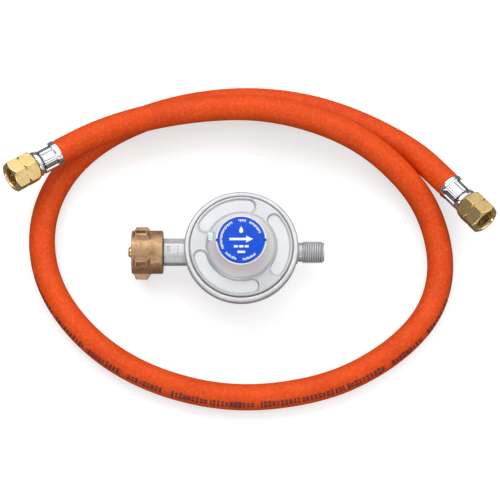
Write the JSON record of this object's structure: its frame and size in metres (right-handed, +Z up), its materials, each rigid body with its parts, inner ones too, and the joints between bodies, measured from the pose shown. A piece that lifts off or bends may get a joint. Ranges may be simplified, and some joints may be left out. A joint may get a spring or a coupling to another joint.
{
  "type": "propane regulator hose",
  "caption": "Low-pressure gas regulator with a winged bottle nut and threaded outlet, ringed by its loose rubber hose with a crimped hexagon union at each end.",
  "frame": {"origin": "centre of the regulator's flat base, under the axis of its diaphragm", "axes": "+Z up, from the base to the label; +X along the ports towards the outlet, -X towards the bottle nut; +Y away from the viewer"},
  "size_m": [0.2903, 0.1971, 0.0477],
  "materials": {
    "cast_zinc": "satin zinc die casting with a fine tumbled grain",
    "satin_brass": "hot-pressed brass, shot-blasted, brownish and half matt",
    "bright_brass": "bright turned and milled brass",
    "chrome": "bright plated steel, crimped",
    "steel": "plain zinc-plated steel",
    "orange_rubber": "matt orange rubber cover with a light fabric print",
    "black_rubber": "matt moulded nitrile rubber",
    "blue_label": "printed blue cap, half gloss",
    "pale_vent": "pale green moulded vent",
    "white_plastic": "plain moulded plastic"
  },
  "bodies": {
    "regulator": {"regulator_body": "cast_zinc", "outlet_fitting": "cast_zinc", "bonnet_cover": "cast_zinc", "vent_insert": "pale_vent", "label_cap": "blue_label", "adjusting_screw": "white_plastic", "lever_pin": "steel", "inlet_nozzle": "bright_brass", "inlet_filter": "steel", "inlet_nipple": "bright_brass", "inlet_seal": "black_rubber"},
    "inlet_nut": {"inlet_union_nut": "satin_brass"},
    "diaphragm_stack": {"diaphragm": "black_rubber", "diaphragm_plate": "steel", "diaphragm_stem": "bright_brass", "main_spring": "steel"},
    "lever": {"valve_lever": "steel"},
    "slider": {"valve_slider": "bright_brass", "valve_pad": "black_rubber"},
    "hose_line": {"hose": "orange_rubber", "left_ferrule": "chrome", "left_hose_tail": "chrome", "right_ferrule": "chrome", "right_hose_tail": "chrome"},
    "left_nut": {"left_union_nut": "bright_brass"},
    "right_nut": {"right_union_nut": "bright_brass"}
  },
  "joints": [
    {"name": "inlet_nut_spin", "type": "hinge", "parent": "regulator", "child": "inlet_nut", "pos_m": [-0.055, 0, 0.0173], "axis": [-1, 0, 0], "continuous": true},
    {"name": "diaphragm_travel", "type": "slide", "parent": "regulator", "child": "diaphragm_stack", "axis": [0, 0, 1], "range_m": [0, 0.003], "stiffness_N_per_m": 600, "springref_m": -0.012, "deforming": ["main_spring", "diaphragm"]},
    {"name": "lever_tilt", "type": "hinge", "parent": "regulator", "child": "lever", "pos_m": [-0.0145, 0, 0.011], "axis": [0, -1, 0], "range_deg": [0, 12]},
    {"name": "slider_travel", "type": "slide", "parent": "regulator", "child": "slider", "axis": [-1, 0, 0], "range_m": [0, 0.00135]},
    {"name": "hose_lift", "type": "slide", "parent": "regulator", "child": "hose_line", "axis": [0, 0, 1], "range_m": [0, 0.12]},
    {"name": "left_nut_spin", "type": "hinge", "parent": "hose_line", "child": "left_nut", "pos_m": [-0.10884, 0.05684, 0.03018], "axis": [-0.7997, -0.5426, 0.257], "continuous": true},
    {"name": "right_nut_spin", "type": "hinge", "parent": "hose_line", "child": "right_nut", "pos_m": [0.12338, 0.04008, 0.01959], "axis": [0.611, -0.7389, 0.2842], "continuous": true}
  ],
  "couplings": [
    {"joint": "lever_tilt", "follows": "diaphragm_travel", "rad_per_m": 68.966},
    {"joint": "slider_travel", "follows": "diaphragm_travel", "ratio": 0.43448}
  ]
}
